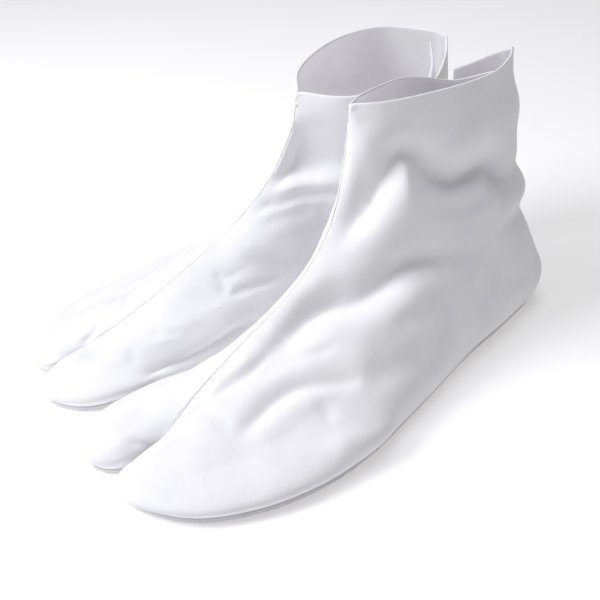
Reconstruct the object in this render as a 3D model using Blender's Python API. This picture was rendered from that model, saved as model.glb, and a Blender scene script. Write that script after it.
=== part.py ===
"""A pair of white tabi socks, standing filled out side by side.

Each sock is cut from three pieces of cloth: a flat sole with a slot between the toes, an inner
upper over the big toe, and an outer upper over the four other toes that runs on round the
heel as a flap. The left sock is drafted first, with its toes toward +x, its outer side toward +y
and the floor at z = 0. The right sock is the same draft, mirrored. Both are then turned so that
the toes point toward -Y, and the origin is put under the middle of the pair.
"""
import math
from collections import namedtuple

import bmesh
import bpy
import numpy as np

MM = 0.001

# Driving dimensions
FOOT_LENGTH = 236 * MM      # length of the sole that the pattern is drafted for
UPPER_CLOTH = 1.3 * MM      # thickness of an upper, turned-in edges included
SOLE_CLOTH = 2.4 * MM       # thickness of the sole
SEAM_GAP = 0.3 * MM         # between two pieces that are sewn together
PATTERN_LENGTH = 236        # the tables below are drafted in millimetres for this length
PATTERN_SCALE = FOOT_LENGTH / PATTERN_LENGTH

# Stance of the right sock against the left one, in the left sock's draft
RIGHT_SOCK_BACK = -1.7 * MM
RIGHT_SOCK_ASIDE = -53.0 * MM
RIGHT_SOCK_TURN = math.radians(-3.6)

# The mesh: rows from the sole to the top line, and columns in each span between two sections
ROWS = 18
ROW_CROWDING = 1.15         # over 1, rows are closer together near the sole
SPAN_COLUMNS = (3, 3, 4, 3, 2, 3, 3, 3, 3, 3, 3, 2, 2, 2)
FRONT_CORNER = 5            # the section that ends at the front corner of the opening
FLAP_ROW = 7                # the flap hangs loose from this row up
FLAP_COLUMNS = 6            # how far the flap runs round onto the inner side
TUCK_RAMP = 2               # rows and columns over which the inner upper dips under the flap
LOOSE_COLUMNS = 11          # columns from the rear corner of the inner upper that hang loose
NARROW_ROWS = 9             # rows beside the instep seam whose back may not cross the seam
NARROW_STEP = 0.1 * MM      # how much farther from the seam the back of each next row stays
SLOT_SPANS = 3              # the spans along the slot
LEAST_SLANT = 0.6           # limits how deep a sharp seam's rim may reach
RIB_SAMPLES = 80            # points at which a rib's length is measured
FOLD_FADE = 4               # folds fade out over a quarter of the cloth at its foot and its top
FOLD_AT_TOP = 0.4           # the share of that fade that the top line starts from
SHARP_EDGE = math.radians(50)

# Where each section of an upper stands on the sole's edge, from the heel seam round to the end
# of the slot, and how far and how high above the floor the cloth stands out over that edge, mm
Foot = namedtuple("Foot", "edge_x edge_y swell swell_height")

OUTER_FOOT = {
    "heel seam": Foot(1.0, 0.0, 3.5, 8),
    "heel corner": Foot(9.0, 14.5, 3.0, 7),
    "heel side": Foot(30.0, 22.5, 2.5, 6),
    "heel front": Foot(62.0, 31.0, 2.5, 6),
    "ankle front": Foot(77.0, 36.0, 2.5, 6),
    "waist": Foot(88.0, 40.0, 2.5, 6),
    "arch": Foot(114.0, 49.0, 2.5, 6),
    "ball back": Foot(140.0, 57.0, 2.5, 6),
    "ball": Foot(166.0, 59.7, 2.5, 6),
    "little toe": Foot(192.0, 55.5, 2.5, 6),
    "toe corner": Foot(215.0, 43.5, 2.5, 6),
    "toe tip": Foot(229.3, 21.0, 2.5, 5.5),
    "slot front": Foot(225.5, 9.5, 1.0, 5.5),
    "slot side": Foot(213.5, 8.2, 0.5, 5),
    "slot end": Foot(203.0, 6.5, 0.1, 4.3),
}
RIGHT_OUTER_FOOT = OUTER_FOOT | {
    "arch": Foot(114.0, 47.0, 2.5, 6),
    "ball back": Foot(140.0, 53.5, 2.0, 5.5),
    "ball": Foot(166.0, 54.5, 1.5, 5),
    "little toe": Foot(192.0, 51.5, 1.5, 5),
    "toe corner": Foot(214.5, 40.5, 2.0, 5),
}
INNER_FOOT = {
    "heel seam": Foot(1.0, 0.0, 3.5, 8),
    "heel corner": Foot(9.0, -13.5, 2.5, 7),
    "heel side": Foot(30.0, -21.0, 2.0, 6),
    "heel front": Foot(62.0, -20.0, 2.0, 6),
    "ankle front": Foot(77.0, -18.8, 2.0, 6),
    "waist": Foot(88.0, -18.0, 2.0, 6),
    "arch": Foot(113.0, -18.5, 2.0, 6),
    "ball back": Foot(140.0, -22.5, 2.0, 6),
    "ball": Foot(167.0, -26.8, 2.0, 6),
    "big toe root": Foot(194.0, -29.2, 2.0, 6),
    "big toe side": Foot(219.5, -25.5, 2.0, 6),
    "toe tip": Foot(232.5, -8.5, 2.0, 5.5),
    "slot front": Foot(226.5, 1.8, 1.0, 5.5),
    "slot side": Foot(212.5, 4.2, 0.5, 5),
    "slot end": Foot(203.0, 6.5, 0.1, 4.3),
}

# The top line of an upper: the hem, then the seam down the instep and the end of the slot, mm
Top = namedtuple("Top", "x y z")

INSTEP_SEAM = {
    "arch": Top(100.5, -8.5, 95.5),
    "ball back": Top(113.2, -3.7, 69.6),
    "ball": Top(134.7, -0.6, 50.3),
    "little toe": Top(163.1, 0.2, 34.4),
    "toe corner": Top(187.0, 2.4, 21.8),
    "toe tip": Top(200.6, 5.8, 13.4),
    "slot front": Top(203.0, 6.5, 10.6),
    "slot side": Top(203.2, 6.5, 8.4),
    "slot end": Top(203.0, 6.5, 6.2),
}
LEFT_OUTER_HEM = {
    "heel seam": Top(9.0, -5.0, 123.5),
    "heel corner": Top(17.5, 1.5, 122.0),
    "heel side": Top(33.0, 7.8, 121.5),
    "heel front": Top(64.0, 7.3, 121.5),
    "ankle front": Top(88.0, 1.2, 121.5),
    "waist": Top(98.5, -6.0, 121.5),
}
LEFT_INNER_HEM = {
    "heel seam": Top(9.0, -5.0, 123.5),
    "heel corner": Top(17.0, -10.3, 121.0),
    "heel side": Top(33.0, -17.0, 116.5),
    "heel front": Top(62.0, -18.7, 119.5),
    "ankle front": Top(88.5, -12.2, 121.0),
    "waist": Top(98.5, -6.0, 121.5),
}
RIGHT_OUTER_HEM = {
    "heel seam": Top(12.0, -7.0, 118.5),
    "heel corner": Top(12.5, 7.0, 118.0),
    "heel side": Top(25.0, 28.0, 117.0),
    "heel front": Top(60.0, 26.0, 116.5),
    "ankle front": Top(86.5, 8.0, 114.5),
    "waist": Top(98.0, -11.5, 113.5),
}
RIGHT_INNER_HEM = {
    "heel seam": Top(12.0, -7.0, 118.5),
    "heel corner": Top(19.0, -15.5, 113.0),
    "heel side": Top(33.0, -25.0, 107.0),
    "heel front": Top(64.0, -32.0, 112.5),
    "ankle front": Top(86.0, -27.5, 113.0),
    "waist": Top(98.0, -11.5, 113.5),
}

# How full the cloth is: how far it lies off a straight line from the sole to the top line,
# outward and upward, at one third of it (low) and at two thirds (high), mm
Fullness = namedtuple("Fullness", "low_out low_up high_out high_up")

OUTER_INSTEP = {
    "ball back": Fullness(1.5, 1.0, 0.0, 0.0),
    "ball": Fullness(0.0, 0.0, -1.0, -0.5),
    "little toe": Fullness(0.0, 0.0, -0.5, 0.0),
    "toe corner": Fullness(1.0, 2.0, 0.5, 1.5),
    "toe tip": Fullness(1.5, 3.5, 0.5, 2.5),
    "slot front": Fullness(0.0, 1.5, 0.0, 1.5),
    "slot side": Fullness(0.5, 1.0, 0.0, 0.5),
    "slot end": Fullness(0.0, 0.0, 0.0, 0.0),
}
INNER_INSTEP = {
    "ball back": Fullness(0.5, 2.0, 0.5, 2.0),
    "ball": Fullness(0.0, 0.0, 0.0, 0.0),
    "little toe": Fullness(0.0, 0.0, 0.0, 0.0),
    "toe corner": Fullness(1.0, 2.5, 0.5, 1.5),
    "toe tip": Fullness(2.0, 4.5, 1.0, 3.5),
    "slot front": Fullness(0.5, 2.5, 0.0, 2.0),
    "slot side": Fullness(0.5, 1.0, 0.0, 0.5),
    "slot end": Fullness(0.0, 0.0, 0.0, 0.0),
}
LEFT_OUTER_ANKLE = {
    "heel seam": Fullness(-4.0, 0.0, -4.0, 0.0),
    "heel corner": Fullness(-1.0, 0.0, -1.0, 0.0),
    "heel side": Fullness(2.0, 0.0, 1.5, 0.0),
    "heel front": Fullness(4.0, 0.0, 3.0, 0.0),
    "ankle front": Fullness(4.0, 0.0, 3.0, 0.0),
    "waist": Fullness(4.0, 1.0, 3.0, 0.0),
    "arch": Fullness(2.5, 1.5, 1.5, 1.0),
}
RIGHT_OUTER_ANKLE = {
    "heel seam": Fullness(-4.0, 0.0, -4.0, 0.0),
    "heel corner": Fullness(-1.0, 0.0, -1.0, 0.0),
    "heel side": Fullness(2.0, 0.0, 1.5, 0.0),
    "heel front": Fullness(3.0, 0.0, 6.0, 0.0),
    "ankle front": Fullness(2.0, 0.0, 14.0, 0.0),
    "waist": Fullness(2.0, 0.0, 19.0, 0.0),
    "arch": Fullness(1.0, 0.0, 7.5, 1.0),
}
INNER_ANKLE = {
    "heel seam": Fullness(-4.0, 0.0, -4.0, 0.0),
    "heel corner": Fullness(-1.0, 0.0, -1.0, 0.0),
    "heel side": Fullness(1.0, 0.0, 0.5, 0.0),
    "heel front": Fullness(1.0, 0.0, 1.0, 0.0),
    "ankle front": Fullness(1.0, 0.0, 2.0, 0.0),
    "waist": Fullness(1.5, 0.0, 3.0, 0.0),
    "arch": Fullness(1.0, 1.0, 1.5, 1.0),
}

# Large folds. Each runs between places on the upper: along is 0 at the heel seam and 1 at the
# slot, up is 0 at the sole and 1 at the top line. depth is inward, width is its half width, mm.
Fold = namedtuple("Fold", "path depth width")

LEFT_OUTER_FOLDS = (
    Fold(((0.48, 0.92), (0.44, 0.86), (0.37, 0.83), (0.33, 0.84), (0.30, 0.78), (0.26, 0.71),
          (0.20, 0.72), (0.16, 0.68), (0.08, 0.63)), 3.5, 6.5),
    Fold(((0.50, 0.80), (0.42, 0.74), (0.35, 0.70)), -2.0, 7.0),
    Fold(((0.19, 0.39), (0.33, 0.43), (0.46, 0.58), (0.58, 0.79), (0.67, 0.76)), 3.0, 8.0),
    Fold(((0.27, 0.30), (0.38, 0.33), (0.50, 0.50)), -1.5, 9.0),
    Fold(((0.56, 0.47), (0.62, 0.57), (0.70, 0.56)), 2.0, 6.0),
)
LEFT_INNER_FOLDS = (
    Fold(((0.42, 0.70), (0.36, 0.68), (0.28, 0.66), (0.20, 0.66)), 2.0, 6.5),
    Fold(((0.22, 0.36), (0.36, 0.40), (0.48, 0.52)), 2.0, 8.0),
    Fold(((0.53, 0.30), (0.59, 0.22), (0.68, 0.27)), 1.5, 6.0),
)
RIGHT_OUTER_FOLDS = (
    Fold(((0.49, 0.86), (0.47, 0.74), (0.40, 0.64), (0.30, 0.66), (0.18, 0.62)), 4.0, 6.0),
    Fold(((0.20, 0.36), (0.33, 0.40), (0.45, 0.50), (0.56, 0.72)), 2.5, 8.0),
    Fold(((0.59, 0.50), (0.66, 0.58), (0.72, 0.52)), 1.0, 6.0),
)
RIGHT_INNER_FOLDS = (
    Fold(((0.47, 0.82), (0.38, 0.72), (0.28, 0.68)), 1.5, 6.5),
    Fold(((0.43, 0.57), (0.34, 0.55)), 1.5, 7.0),
    Fold(((0.62, 0.76), (0.60, 0.62), (0.58, 0.46)), 2.0, 5.0),
    Fold(((0.52, 0.30), (0.56, 0.21), (0.62, 0.20), (0.68, 0.30)), 2.5, 6.5),
    Fold(((0.73, 0.57), (0.75, 0.61)), 1.5, 5.0),
)

# Everything that shapes one upper. side is 1 on the outer side of the foot, -1 on the inner.
Upper = namedtuple("Upper", "foot hem ankle instep folds side")

LEFT_OUTER = Upper(OUTER_FOOT, LEFT_OUTER_HEM, LEFT_OUTER_ANKLE, OUTER_INSTEP, LEFT_OUTER_FOLDS, 1)
LEFT_INNER = Upper(INNER_FOOT, LEFT_INNER_HEM, INNER_ANKLE, INNER_INSTEP, LEFT_INNER_FOLDS, -1)
RIGHT_OUTER = Upper(RIGHT_OUTER_FOOT, RIGHT_OUTER_HEM, RIGHT_OUTER_ANKLE, OUTER_INSTEP,
                    RIGHT_OUTER_FOLDS, 1)
RIGHT_INNER = Upper(INNER_FOOT, RIGHT_INNER_HEM, INNER_ANKLE, INNER_INSTEP, RIGHT_INNER_FOLDS, -1)

# The loose rear corner of the inner upper, mm: how far it hangs toward the toes, how far the
# hem beside it sways into the opening, how far it drops, and how far the hem beside it sags
Corner = namedtuple("Corner", "forward sway drop sag")

LEFT_CORNER = Corner(6.0, 3.0, 7.0, 0.0)
RIGHT_CORNER = Corner(5.0, 3.0, 3.0, 4.0)

WHITE_CLOTH = (0.86, 0.86, 0.88, 1.0)
CLOTH_ROUGHNESS = 0.78


def flow_through(knots, values, at):
    """A smooth curve through values at knots, read at the places in at."""
    values = np.asarray(values, float)
    slopes = np.gradient(values, knots, axis=0)
    left = np.clip(np.searchsorted(knots, at, side="right") - 1, 0, len(knots) - 2)
    width = knots[left + 1] - knots[left]
    s = (at - knots[left]) / width
    if values.ndim > 1:
        s, width = s[:, None], width[:, None]
    rise = (1 + 2 * s) * (1 - s) ** 2 * values[left] + s * (1 - s) ** 2 * width * slopes[left]
    fall = s ** 2 * (3 - 2 * s) * values[left + 1] - s ** 2 * (1 - s) * width * slopes[left + 1]
    return rise + fall


def unit(vectors):
    """The vectors at length one."""
    return vectors / np.linalg.norm(vectors, axis=-1, keepdims=True)


def smooth_step(t):
    """0 below 0, 1 above 1, with a soft rise between."""
    t = np.clip(t, 0, 1)
    return t * t * (3 - 2 * t)


def section_knots():
    """The share of all columns at which each section stands."""
    return np.concatenate([[0], np.cumsum(SPAN_COLUMNS)]) / sum(SPAN_COLUMNS)


def rows_of(*tables):
    """The rows of one or more tables, in order."""
    return np.array([row for table in tables for row in table.values()])


def top_line(hem, at):
    """The hem as far as the front corner, then the instep seam, which turns sharply there."""
    knots = section_knots()
    line = rows_of(hem, INSTEP_SEAM)
    corner = knots[FRONT_CORNER]
    front = flow_through(knots[:FRONT_CORNER + 1], line[:FRONT_CORNER + 1], at[at <= corner])
    seam = flow_through(knots[FRONT_CORNER:], line[FRONT_CORNER:], at[at > corner])
    return np.concatenate([front, seam])


def edge_outward(edge, side):
    """Level directions that point out of the sole, across its edge."""
    along = np.gradient(edge, axis=0)
    outward = np.stack([-along[:, 1], along[:, 0], np.zeros(len(edge))], axis=1) * side
    outward[0] = (-1, 0, 0)
    outward[-1] = (1, 0, 0)
    return unit(outward)


def upper_surface(upper):
    """Outer face of an upper, as a grid of points: columns along the sock by rows up it."""
    at = np.arange(sum(SPAN_COLUMNS) + 1) / sum(SPAN_COLUMNS)
    foot = flow_through(section_knots(), rows_of(upper.foot), at)
    full = flow_through(section_knots(), rows_of(upper.ankle, upper.instep), at)
    edge = np.column_stack([foot[:, :2], np.zeros(len(at))])
    outward = edge_outward(edge, upper.side)
    up = np.array([0.0, 0.0, 1.0])
    bottom = edge + up * (SOLE_CLOTH + SEAM_GAP) / PATTERN_SCALE
    swell = edge + outward * foot[:, 2:3] + up * foot[:, 3:4]
    top = top_line(upper.hem, at)
    low = swell + (top - swell) / 3 + outward * full[:, 0:1] + up * full[:, 1:2]
    high = swell + (top - swell) * 2 / 3 + outward * full[:, 2:3] + up * full[:, 3:4]
    shares = (np.arange(ROWS + 1) / ROWS) ** ROW_CROWDING
    ribs = [rib(points, shares) for points in zip(bottom, swell, low, high, top)]
    return np.array(ribs) * PATTERN_SCALE


def rib(points, shares):
    """A curve from the sole up to the top line, read at shares of its length."""
    points = np.array(points)
    knots = np.concatenate([[0], np.cumsum(np.linalg.norm(np.diff(points, axis=0), axis=1))])
    fine = flow_through(knots, points, np.linspace(0, knots[-1], RIB_SAMPLES))
    length = np.concatenate([[0], np.cumsum(np.linalg.norm(np.diff(fine, axis=0), axis=1))])
    return np.stack([np.interp(shares * length[-1], length, axis) for axis in fine.T], axis=1)


def grid_normals(grid, side):
    """Directions straight out of the cloth at each point of a grid."""
    along = np.gradient(grid, axis=0)
    up = np.gradient(grid, axis=1)
    normals = np.cross(up, along) * side
    normals[-1] = (1, 0, 0)     # the end of the slot faces the toes
    return unit(normals)


def distance_to_path(points, path):
    """How far each point is from a path of straight runs."""
    nearest = np.full(points.shape[:-1], np.inf)
    for start, end in zip(path[:-1], path[1:]):
        run = end - start
        share = np.clip((points - start) @ run / (run @ run), 0, 1)
        gap = np.linalg.norm(points - start - share[..., None] * run, axis=-1)
        nearest = np.minimum(nearest, gap)
    return nearest


def fold_cloth(grid, upper):
    """Press an upper's folds into it. The sole's edge and the seams stay where they are."""
    columns, rows = grid.shape[0] - 1, grid.shape[1] - 1
    up = np.linspace(0, 1, rows + 1)
    hold = smooth_step(up * FOLD_FADE) * smooth_step((1 - up) * FOLD_FADE + FOLD_AT_TOP)
    push = np.zeros(grid.shape[:2])
    for fold in upper.folds:
        spots = np.rint(np.array(fold.path) * (columns, rows)).astype(int)
        reach = distance_to_path(grid, grid[spots[:, 0], spots[:, 1]]) / (fold.width * MM)
        push += fold.depth * MM * np.exp(-reach ** 2)
    return grid - grid_normals(grid, upper.side) * (push * hold)[..., None]


def thick_cloth(name, outer, inner, present):
    """A closed wall between two grids of points, over the cells that are present."""
    mesh = bmesh.new()
    used = np.zeros(outer.shape[:2], bool)
    for column, row in zip(*np.nonzero(present)):
        used[column:column + 2, row:row + 2] = True
    faces = [{}, {}]
    for layer, grid in enumerate((outer, inner)):
        for spot in zip(*np.nonzero(used)):
            faces[layer][spot] = mesh.verts.new(grid[spot])
    rim = {}
    for column, row in zip(*np.nonzero(present)):
        corners = [(column, row), (column + 1, row), (column + 1, row + 1), (column, row + 1)]
        mesh.faces.new([faces[0][spot] for spot in corners])
        mesh.faces.new([faces[1][spot] for spot in reversed(corners)])
        for start, end in zip(corners, corners[1:] + corners[:1]):
            if rim.pop((end, start), None) is None:
                rim[(start, end)] = True
    for start, end in rim:
        mesh.faces.new([faces[0][end], faces[0][start], faces[1][start], faces[1][end]])
    bmesh.ops.recalc_face_normals(mesh, faces=mesh.faces)
    bmesh.ops.triangulate(mesh, faces=mesh.faces)
    return add_object(name, mesh)


def add_object(name, mesh):
    """Turn a bmesh into a named object of the pair."""
    data = bpy.data.meshes.new(name)
    mesh.to_mesh(data)
    mesh.free()
    data.shade_smooth()
    data.set_sharp_from_angle(angle=SHARP_EDGE)
    part = bpy.data.objects.new(name, data)
    part.data.materials.append(cloth_material(name))
    return part


def cloth_material(name):
    """Plain white woven cloth, one material for each piece."""
    material = bpy.data.materials.new(name + "_cloth")
    material.use_nodes = True
    shader = material.node_tree.nodes["Principled BSDF"]
    shader.inputs["Base Color"].default_value = WHITE_CLOTH
    shader.inputs["Roughness"].default_value = CLOTH_ROUGHNESS
    shader.inputs["Metallic"].default_value = 0.0
    return material


def seam_rim(mine, other, next_to_it, my_normals, out):
    """A rim's outer and inner points, half a gap from its partner's, and the way across."""
    along = unit(np.gradient(mine, axis=0))
    out = unit(out - np.sum(out * along, axis=1, keepdims=True) * along)
    across = np.cross(out, along)
    across *= np.sign(np.sum(across * (next_to_it - mine), axis=1, keepdims=True))
    depth = UPPER_CLOTH / np.clip(np.sum(out * my_normals, axis=1, keepdims=True), LEAST_SLANT, 1)
    rim = (mine + other) / 2 + across * SEAM_GAP / 2
    return rim, rim - out * depth, across


def instep_out(normals, other_normals):
    """Directions out of the sock along the instep seam, turning toward the toes in the slot."""
    out = unit(normals + other_normals)
    slot = sum(SPAN_COLUMNS[FRONT_CORNER:-SLOT_SPANS])
    turn = smooth_step(np.linspace(0, 1, len(out) - slot))[:, None]
    out[slot:] = unit((1 - turn) * out[slot] + turn * np.array([1.0, 0, 0]))
    return out


def upper_walls(grid, normals, other, other_normals):
    """Outer and inner faces of an upper, with rims that match the other upper's at the seams."""
    outer = grid.copy()
    inner = grid - normals * UPPER_CLOTH
    inner[:, 0] = grid[:, 0] - unit(normals[:, 0] * (1, 1, 0)) * UPPER_CLOTH
    corner = sum(SPAN_COLUMNS[:FRONT_CORNER])
    heel, slot, instep = (0, slice(None)), (-1, slice(None)), (slice(corner, None), -1)
    below = np.concatenate([grid[corner:-1, -2], grid[-2:-1, -2]])
    seams = ((heel, grid[1], unit(normals[heel] + other_normals[heel])),
             (slot, grid[-2], np.broadcast_to((1.0, 0, 0), grid[slot].shape)),
             (instep, below, instep_out(normals[instep], other_normals[instep])))
    for seam, beside, out in seams:
        outer[seam], inner[seam], across = seam_rim(grid[seam], other[seam], beside,
                                                    normals[seam], out)
    end = -sum(SPAN_COLUMNS[-SLOT_SPANS:])
    rims = inner[corner:end, -1]
    for row in range(-1 - NARROW_ROWS, -1):
        backs = inner[corner:end, row]
        nearest = np.linalg.norm(backs[:, None] - rims, axis=2).argmin(axis=1)
        clear = np.sum((backs - rims[nearest]) * across[nearest], axis=1)
        shift = np.minimum(clear + NARROW_STEP * (row + 1), 0)[:, None] * across[nearest]
        outer[corner:end, row] -= shift
        inner[corner:end, row] -= shift
    inner[:, 0, 2] = outer[:, 0, 2]
    return outer, inner


def tuck_under_flap(face, back, corner):
    """Lower the rear of the inner upper under the flap, and let its rear corner hang in."""
    columns, rows = np.indices(face.shape[:2])
    aside = smooth_step((FLAP_COLUMNS + TUCK_RAMP - columns) / TUCK_RAMP)
    above = smooth_step((rows - FLAP_ROW + TUCK_RAMP) / TUCK_RAMP)
    wall = back - face
    move = (wall + unit(wall) * SEAM_GAP) * (aside * above)[..., None]
    forward, sway, drop, sag = np.array(corner) * MM
    height = np.clip((rows - FLAP_ROW) / (ROWS - FLAP_ROW), 0, 1)
    loose = np.clip(1 - columns / LOOSE_COLUMNS, 0, 1)
    beside = 4 * loose * (1 - loose)        # 1 halfway along the loose columns, 0 at their ends
    move[..., 0] += forward * height * loose
    move[..., 1] += sway * height * smooth_step(2 * loose)
    move[..., 2] -= (drop * smooth_step(loose) + sag * beside) * height
    square = height[0][:, None]             # the rear edge is cut square where it hangs free
    squared = back.copy()
    squared[0] += square * (wall[1] - wall[0])
    return face + move, squared + move


def sock(name, outer_cut, inner_cut, corner):
    """The three pieces of a left sock, in its own draft."""
    outer_grid = fold_cloth(upper_surface(outer_cut), outer_cut)
    inner_grid = fold_cloth(upper_surface(inner_cut), inner_cut)
    outer_normals = grid_normals(outer_grid, outer_cut.side)
    inner_normals = grid_normals(inner_grid, inner_cut.side)
    outer, outer_back = upper_walls(outer_grid, outer_normals, inner_grid, inner_normals)
    inner, inner_back = upper_walls(inner_grid, inner_normals, outer_grid, outer_normals)

    flap = inner[FLAP_COLUMNS:0:-1]
    flap_back = inner_back[FLAP_COLUMNS:0:-1]
    present = np.ones((FLAP_COLUMNS + outer.shape[0] - 1, ROWS), bool)
    present[:FLAP_COLUMNS, :FLAP_ROW] = False
    outer_upper = thick_cloth(name + "_outer_upper", np.concatenate([flap, outer]),
                              np.concatenate([flap_back, outer_back]), present)

    tucked, tucked_back = tuck_under_flap(inner, inner_back, corner)
    inner_upper = thick_cloth(name + "_inner_upper", tucked, tucked_back,
                              np.ones((inner.shape[0] - 1, ROWS), bool))
    return sole(name + "_sole", outer_grid[:, 0], inner_grid[:, 0]), inner_upper, outer_upper


def sole(name, outer_edge, inner_edge):
    """The flat sole, cut to the line on which both uppers stand."""
    outline = np.concatenate([outer_edge, inner_edge[-2:0:-1]])
    mesh = bmesh.new()
    corners = [mesh.verts.new((x, y, 0)) for x, y, _ in outline]
    face = mesh.faces.new(corners)
    raised = bmesh.ops.extrude_face_region(mesh, geom=[face])["geom"]
    top = [item for item in raised if isinstance(item, bmesh.types.BMVert)]
    bmesh.ops.translate(mesh, verts=top, vec=(0, 0, SOLE_CLOTH))
    bmesh.ops.recalc_face_normals(mesh, faces=mesh.faces)
    bmesh.ops.triangulate(mesh, faces=mesh.faces)
    return add_object(name, mesh)


def move_points(part, move):
    """Run every point of a part through a function of an array of points."""
    points = np.empty(len(part.data.vertices) * 3)
    part.data.vertices.foreach_get("co", points)
    points = move(points.reshape(-1, 3))
    part.data.vertices.foreach_set("co", points.ravel())
    part.data.update()


def mirror_part(part):
    """Turn a left piece into a right one."""
    move_points(part, lambda points: points * (1, -1, 1))
    part.data.flip_normals()


def stand_right_sock(points):
    """Place the right sock beside the left one."""
    c, s = math.cos(RIGHT_SOCK_TURN), math.sin(RIGHT_SOCK_TURN)
    turned = np.stack([points[:, 0] * c - points[:, 1] * s, points[:, 0] * s + points[:, 1] * c,
                       points[:, 2]], axis=1)
    return turned + (RIGHT_SOCK_BACK, RIGHT_SOCK_ASIDE, 0)


def face_toes_forward(points):
    """Turn the draft so that its toes point toward -Y."""
    return np.stack([points[:, 1], -points[:, 0], points[:, 2]], axis=1)


def centre_on_floor(parts):
    """Put the origin on the floor under the middle of all the parts."""
    corners = np.concatenate([[vertex.co[:] for vertex in part.data.vertices] for part in parts])
    low, high = corners.min(axis=0), corners.max(axis=0)
    shift = -(low + high) / 2
    shift[2] = -low[2]
    for part in parts:
        move_points(part, lambda points: points + shift)


def build_pair():
    """Make both socks and stand them side by side."""
    for old in list(bpy.data.objects):
        bpy.data.objects.remove(old)
    pair = bpy.data.collections.new("pair_of_tabi_socks")
    bpy.context.scene.collection.children.link(pair)
    left = sock("left", LEFT_OUTER, LEFT_INNER, LEFT_CORNER)
    right = sock("right", RIGHT_OUTER, RIGHT_INNER, RIGHT_CORNER)
    for part in right:
        mirror_part(part)
        move_points(part, stand_right_sock)
    for part in left + right:
        move_points(part, face_toes_forward)
        pair.objects.link(part)
    centre_on_floor(left + right)


build_pair()
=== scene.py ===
"""A pair of white tabi socks in cotton cloth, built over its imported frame.

Each sock is an outer upper with a loose flap behind the ankle, an inner upper over the big toe,
and a flat sole with a slot between the toes. A left sock is drafted first, with its toes toward
+x, its outer side toward +y and the floor at z = 0, and is then set where the frame has it.
"""
import logging
import math
from dataclasses import dataclass
from enum import Enum
from functools import partial
from typing import Callable, Iterator, Mapping, NamedTuple, Sequence

import bpy
import numpy as np
from mathutils import Matrix, Vector, noise


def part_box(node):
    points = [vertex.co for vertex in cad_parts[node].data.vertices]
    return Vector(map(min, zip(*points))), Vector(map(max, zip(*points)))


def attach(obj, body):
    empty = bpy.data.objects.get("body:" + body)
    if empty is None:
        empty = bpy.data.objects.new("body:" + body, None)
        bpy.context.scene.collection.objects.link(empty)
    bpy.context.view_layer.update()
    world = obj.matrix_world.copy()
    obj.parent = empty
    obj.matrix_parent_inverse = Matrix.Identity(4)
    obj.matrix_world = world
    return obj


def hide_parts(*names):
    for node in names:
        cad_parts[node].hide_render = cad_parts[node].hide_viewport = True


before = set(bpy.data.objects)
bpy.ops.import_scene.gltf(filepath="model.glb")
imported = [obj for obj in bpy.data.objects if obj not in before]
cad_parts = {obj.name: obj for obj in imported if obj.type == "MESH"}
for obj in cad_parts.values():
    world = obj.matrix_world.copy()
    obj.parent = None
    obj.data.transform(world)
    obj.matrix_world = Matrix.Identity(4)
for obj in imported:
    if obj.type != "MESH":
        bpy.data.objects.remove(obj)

Rows = tuple[tuple[float, ...], ...]
Array = np.ndarray
Pair = tuple[Array, Array]
Piece = bpy.types.Object

log = logging.getLogger("tabi")
MM = 0.001
FORWARD = np.array([1.0, 0.0, 0.0])
UP = np.array([0.0, 0.0, 1.0])

# The draft: rows from the sole to the top line, and columns in each span between sections
ROWS = 18
ROW_CROWDING = 1.15
SPANS = (3, 3, 4, 3, 2, 3, 3, 3, 3, 3, 3, 2, 2, 2)
COLUMNS = sum(SPANS)
KNOTS = np.concatenate([[0], np.cumsum(SPANS)]) / COLUMNS  # where the sections stand
FINE = 5  # how many times finer the cloth is than its draft
CORNER_COLUMN = sum(SPANS[:5])  # the front corner of the opening
SLOT_COLUMNS = sum(SPANS[-3:])  # the columns along the slot
FLAP_ROW = 7
FLAP_COLUMNS = 6
TUCK_RAMP = 2
LOOSE_COLUMNS = 11
NARROW_ROWS = 9
RIB_SAMPLES = 160
UPPER_CLOTH = 1.2 * MM
SOLE_CLOTH = 2.4 * MM
SEAM_GAP = 0.3 * MM
LEAST_SLANT = 0.6
NARROW_STEP = 0.02 * MM
NARROW_REACH = 4.0 * MM
NARROW_EASE = 0.8 * MM
CREASE_REACH = 1.4
CREASE_HOLD = 18.0
EDGE_STEP = 0.3 * MM  # rows this close together beside the top line
EDGE_GROWTH = 0.08 * MM  # and this much farther apart with each row away from it
SHARE = 1000  # a fold's places are in thousandths
TINY = 1e-12


class Corner(NamedTuple):
    """How the loose rear corner of an inner upper hangs, in mm."""

    forward: float
    sway: float
    drop: float
    sag: float


class Fold(NamedTuple):
    """A trough in the cloth, or a ridge where its depth is negative.

    The path's places are thousandths along the sock, from the heel seam round to the slot, and
    thousandths up the cloth. The depth and the half width are in mm. The flank above the path is
    wider or narrower by the share in above, and the bottom is rounded by the share in soft.
    """

    path: tuple[tuple[int, int], ...]
    depth: float
    width: float
    above: float = 1.0
    soft: float = 1.0


class Side(Enum):
    """The side of the foot that an upper covers, and the sign of its outward direction."""

    OUTER = 1
    INNER = -1


def flow_through(knots: Array, values: Sequence, at: Array) -> Array:
    """A smooth curve through known values.

    Args:
        knots: Where the values are known.
        values: The values there.
        at: The places to read.

    Returns:
        The values at those places.
    """
    values = np.asarray(values, float)
    slopes = np.gradient(values, knots, axis=0)
    left = np.clip(np.searchsorted(knots, at, side="right") - 1, 0, len(knots) - 2)
    width = knots[left + 1] - knots[left]
    s = (at - knots[left]) / width
    if values.ndim > 1:
        s, width = s[:, None], width[:, None]
    rise = (1 + 2 * s) * (1 - s) ** 2 * values[left] + s * (1 - s) ** 2 * width * slopes[left]
    fall = s ** 2 * (3 - 2 * s) * values[left + 1] - s ** 2 * (1 - s) * width * slopes[left + 1]
    return rise + fall


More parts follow.
